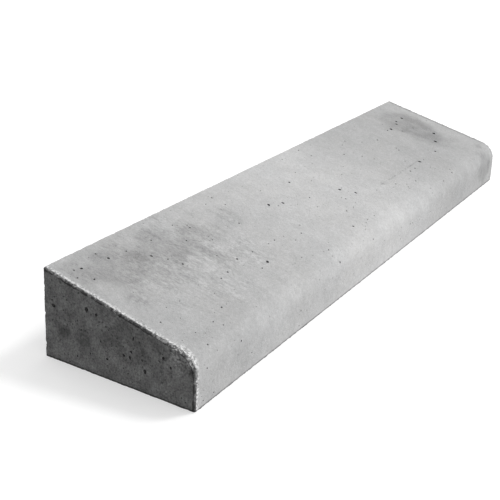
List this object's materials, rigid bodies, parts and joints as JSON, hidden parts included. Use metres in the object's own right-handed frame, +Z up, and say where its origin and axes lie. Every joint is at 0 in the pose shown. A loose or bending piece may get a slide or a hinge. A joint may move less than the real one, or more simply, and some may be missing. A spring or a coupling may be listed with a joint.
{
  "type": "wheel stop",
  "caption": "Precast concrete parking wheel stop: a long wedge with a sloping top, a rounded nose and a tall back, cast round a tied steel cage with hidden dowel sockets.",
  "frame": {"origin": "middle of the underside, on the surface that the stop lies on", "axes": "+X along the stop, +Z up, -Y the way the rounded nose and the low front face point, +Y the way the tall back face points"},
  "size_m": [1, 0.225, 0.12],
  "materials": {
    "concrete": "cast against a mould, with air holes and cloudy patches",
    "rebar": "hot rolled, lightly rusted",
    "link_wire": "drawn wire, dull",
    "tie_wire": "black annealed",
    "spacer_plastic": "moulded",
    "sleeve_plastic": "extruded and moulded"
  },
  "bodies": {
    "root": {"concrete_body": "concrete", "front_bar": "rebar", "bottom_bar": "rebar", "back_bottom_bar": "rebar", "back_top_bar": "rebar", "link_1": "link_wire", "link_2": "link_wire", "link_3": "link_wire", "link_4": "link_wire", "link_5": "link_wire", "link_6": "link_wire", "front_bar_ties": "tie_wire", "bottom_bar_ties": "tie_wire", "back_bottom_bar_ties": "tie_wire", "back_top_bar_ties": "tie_wire", "front_spacers": "spacer_plastic", "top_spacers": "spacer_plastic", "back_spacers": "spacer_plastic", "dowel_sleeve_left": "sleeve_plastic", "dowel_sleeve_right": "sleeve_plastic", "sleeve_cap_left": "sleeve_plastic", "sleeve_cap_right": "sleeve_plastic"}
  },
  "joints": []
}
